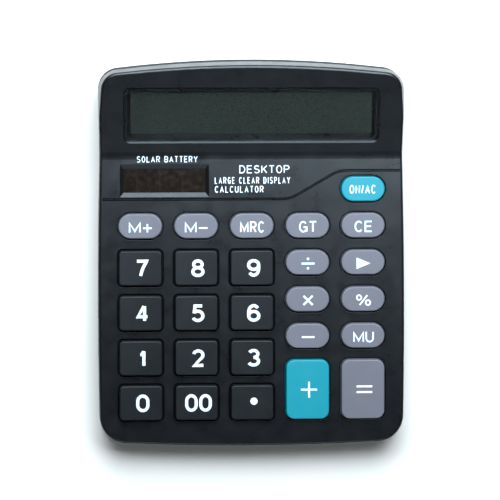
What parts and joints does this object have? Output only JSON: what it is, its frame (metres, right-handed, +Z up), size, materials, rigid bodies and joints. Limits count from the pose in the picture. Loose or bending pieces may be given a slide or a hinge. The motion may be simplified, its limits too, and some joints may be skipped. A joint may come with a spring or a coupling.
{
  "type": "desk calculator",
  "caption": "Desk calculator with a gently sloping key deck, a raised display head, a solar cell and a sliding battery door. Every key presses.",
  "frame": {"origin": "centre of the overall box on plan, at the level of the feet's undersides", "axes": "+X to the user's right, +Y away from the user towards the display, +Z up"},
  "size_m": [0.1188, 0.1498, 0.0335],
  "materials": {
    "case_top": "fine satin",
    "case_bottom": "fine texture",
    "key_black": "satin",
    "key_grey": "satin",
    "key_teal": "satin",
    "lens": "clear, polished",
    "foot_rubber": "matt",
    "screw_steel": "black zinc",
    "keypad_rubber": "matt silicone",
    "carbon": "matt",
    "board": "phenolic paper board",
    "epoxy": "gloss",
    "capacitor_sleeve": "shrink sleeve",
    "ceramic_body": "matt",
    "diode_body": "gloss",
    "lcd_glass": "polished",
    "film": "smooth film",
    "foam": "closed-cell foam",
    "inner_plastic": "moulded",
    "ribbon": "heat-seal film",
    "solar": "amorphous silicon on glass",
    "wire_sleeve": "PVC",
    "cell_can": "printed sleeve over a can",
    "contact_steel": "nickel plated"
  },
  "bodies": {
    "case": {"battery_cap": "contact_steel", "battery_cell": "cell_can", "battery_positive_contact": "contact_steel", "battery_spring": "contact_steel", "battery_wires": "wire_sleeve", "bottom_case": "case_bottom", "case_screws": "screw_steel", "ceramic_capacitors": "ceramic_body", "cob_chip": "epoxy", "contact_pills": "carbon", "diode": "diode_body", "display_lens": "lens", "electrolytic_capacitor": "capacitor_sleeve", "front_polarizer": "film", "lcd_front_glass": "lcd_glass", "lcd_gasket": "foam", "lcd_rear_glass": "lcd_glass", "lcd_retainer": "inner_plastic", "lcd_retainer_screws": "screw_steel", "lcd_ribbon": "ribbon", "main_pcb": "board", "pcb_screws": "screw_steel", "reflector_film": "film", "rubber_feet": "foot_rubber", "rubber_keypad": "keypad_rubber", "solar_cell": "solar", "solar_retainer": "inner_plastic", "solar_wires": "wire_sleeve", "top_case": "case_top"},
    "door": {"battery_door": "case_bottom"},
    "key_0": {"key_0": "key_black"},
    "key_00": {"key_00": "key_black"},
    "key_1": {"key_1": "key_black"},
    "key_2": {"key_2": "key_black"},
    "key_3": {"key_3": "key_black"},
    "key_4": {"key_4": "key_black"},
    "key_5": {"key_5": "key_black"},
    "key_6": {"key_6": "key_black"},
    "key_7": {"key_7": "key_black"},
    "key_8": {"key_8": "key_black"},
    "key_9": {"key_9": "key_black"},
    "key_ce": {"key_ce": "key_grey"},
    "key_delete": {"key_delete": "key_grey"},
    "key_divide": {"key_divide": "key_grey"},
    "key_equals": {"key_equals": "key_grey"},
    "key_gt": {"key_gt": "key_grey"},
    "key_m_minus": {"key_m_minus": "key_grey"},
    "key_m_plus": {"key_m_plus": "key_grey"},
    "key_minus": {"key_minus": "key_grey"},
    "key_mrc": {"key_mrc": "key_grey"},
    "key_mu": {"key_mu": "key_grey"},
    "key_multiply": {"key_multiply": "key_grey"},
    "key_on_ac": {"key_on_ac": "key_teal"},
    "key_percent": {"key_percent": "key_grey"},
    "key_plus": {"key_plus": "key_teal"},
    "key_point": {"key_point": "key_black"}
  },
  "joints": [
    {"name": "press_0", "type": "slide", "parent": "case", "child": "key_0", "axis": [0, 0.061, -0.9981], "range_m": [0, 0.0012], "stiffness_N_per_m": 500, "deforming": ["rubber_keypad", "contact_pills"]},
    {"name": "press_00", "type": "slide", "parent": "case", "child": "key_00", "axis": [0, 0.061, -0.9981], "range_m": [0, 0.0012], "stiffness_N_per_m": 500, "deforming": ["rubber_keypad", "contact_pills"]},
    {"name": "press_1", "type": "slide", "parent": "case", "child": "key_1", "axis": [0, 0.061, -0.9981], "range_m": [0, 0.0012], "stiffness_N_per_m": 500, "deforming": ["rubber_keypad", "contact_pills"]},
    {"name": "press_2", "type": "slide", "parent": "case", "child": "key_2", "axis": [0, 0.061, -0.9981], "range_m": [0, 0.0012], "stiffness_N_per_m": 500, "deforming": ["rubber_keypad", "contact_pills"]},
    {"name": "press_3", "type": "slide", "parent": "case", "child": "key_3", "axis": [0, 0.061, -0.9981], "range_m": [0, 0.0012], "stiffness_N_per_m": 500, "deforming": ["rubber_keypad", "contact_pills"]},
    {"name": "press_4", "type": "slide", "parent": "case", "child": "key_4", "axis": [0, 0.061, -0.9981], "range_m": [0, 0.0012], "stiffness_N_per_m": 500, "deforming": ["rubber_keypad", "contact_pills"]},
    {"name": "press_5", "type": "slide", "parent": "case", "child": "key_5", "axis": [0, 0.061, -0.9981], "range_m": [0, 0.0012], "stiffness_N_per_m": 500, "deforming": ["rubber_keypad", "contact_pills"]},
    {"name": "press_6", "type": "slide", "parent": "case", "child": "key_6", "axis": [0, 0.061, -0.9981], "range_m": [0, 0.0012], "stiffness_N_per_m": 500, "deforming": ["rubber_keypad", "contact_pills"]},
    {"name": "press_7", "type": "slide", "parent": "case", "child": "key_7", "axis": [0, 0.061, -0.9981], "range_m": [0, 0.0012], "stiffness_N_per_m": 500, "deforming": ["rubber_keypad", "contact_pills"]},
    {"name": "press_8", "type": "slide", "parent": "case", "child": "key_8", "axis": [0, 0.061, -0.9981], "range_m": [0, 0.0012], "stiffness_N_per_m": 500, "deforming": ["rubber_keypad", "contact_pills"]},
    {"name": "press_9", "type": "slide", "parent": "case", "child": "key_9", "axis": [0, 0.061, -0.9981], "range_m": [0, 0.0012], "stiffness_N_per_m": 500, "deforming": ["rubber_keypad", "contact_pills"]},
    {"name": "press_ce", "type": "slide", "parent": "case", "child": "key_ce", "axis": [0, 0.061, -0.9981], "range_m": [0, 0.0012], "stiffness_N_per_m": 500, "deforming": ["rubber_keypad", "contact_pills"]},
    {"name": "press_delete", "type": "slide", "parent": "case", "child": "key_delete", "axis": [0, 0.061, -0.9981], "range_m": [0, 0.0012], "stiffness_N_per_m": 500, "deforming": ["rubber_keypad", "contact_pills"]},
    {"name": "press_divide", "type": "slide", "parent": "case", "child": "key_divide", "axis": [0, 0.061, -0.9981], "range_m": [0, 0.0012], "stiffness_N_per_m": 500, "deforming": ["rubber_keypad", "contact_pills"]},
    {"name": "press_equals", "type": "slide", "parent": "case", "child": "key_equals", "axis": [0, 0.061, -0.9981], "range_m": [0, 0.0012], "stiffness_N_per_m": 500, "deforming": ["rubber_keypad", "contact_pills"]},
    {"name": "press_gt", "type": "slide", "parent": "case", "child": "key_gt", "axis": [0, 0.061, -0.9981], "range_m": [0, 0.0012], "stiffness_N_per_m": 500, "deforming": ["rubber_keypad", "contact_pills"]},
    {"name": "press_m_minus", "type": "slide", "parent": "case", "child": "key_m_minus", "axis": [0, 0.061, -0.9981], "range_m": [0, 0.0012], "stiffness_N_per_m": 500, "deforming": ["rubber_keypad", "contact_pills"]},
    {"name": "press_m_plus", "type": "slide", "parent": "case", "child": "key_m_plus", "axis": [0, 0.061, -0.9981], "range_m": [0, 0.0012], "stiffness_N_per_m": 500, "deforming": ["rubber_keypad", "contact_pills"]},
    {"name": "press_minus", "type": "slide", "parent": "case", "child": "key_minus", "axis": [0, 0.061, -0.9981], "range_m": [0, 0.0012], "stiffness_N_per_m": 500, "deforming": ["rubber_keypad", "contact_pills"]},
    {"name": "press_mrc", "type": "slide", "parent": "case", "child": "key_mrc", "axis": [0, 0.061, -0.9981], "range_m": [0, 0.0012], "stiffness_N_per_m": 500, "deforming": ["rubber_keypad", "contact_pills"]},
    {"name": "press_mu", "type": "slide", "parent": "case", "child": "key_mu", "axis": [0, 0.061, -0.9981], "range_m": [0, 0.0012], "stiffness_N_per_m": 500, "deforming": ["rubber_keypad", "contact_pills"]},
    {"name": "press_multiply", "type": "slide", "parent": "case", "child": "key_multiply", "axis": [0, 0.061, -0.9981], "range_m": [0, 0.0012], "stiffness_N_per_m": 500, "deforming": ["rubber_keypad", "contact_pills"]},
    {"name": "press_on_ac", "type": "slide", "parent": "case", "child": "key_on_ac", "axis": [0, 0.061, -0.9981], "range_m": [0, 0.0012], "stiffness_N_per_m": 500, "deforming": ["rubber_keypad", "contact_pills"]},
    {"name": "press_percent", "type": "slide", "parent": "case", "child": "key_percent", "axis": [0, 0.061, -0.9981], "range_m": [0, 0.0012], "stiffness_N_per_m": 500, "deforming": ["rubber_keypad", "contact_pills"]},
    {"name": "press_plus", "type": "slide", "parent": "case", "child": "key_plus", "axis": [0, 0.061, -0.9981], "range_m": [0, 0.0012], "stiffness_N_per_m": 500, "deforming": ["rubber_keypad", "contact_pills"]},
    {"name": "press_point", "type": "slide", "parent": "case", "child": "key_point", "axis": [0, 0.061, -0.9981], "range_m": [0, 0.0012], "stiffness_N_per_m": 500, "deforming": ["rubber_keypad", "contact_pills"]},
    {"name": "door_slide", "type": "slide", "parent": "case", "child": "door", "axis": [0, 1, 0], "range_m": [0, 0.022]}
  ]
}
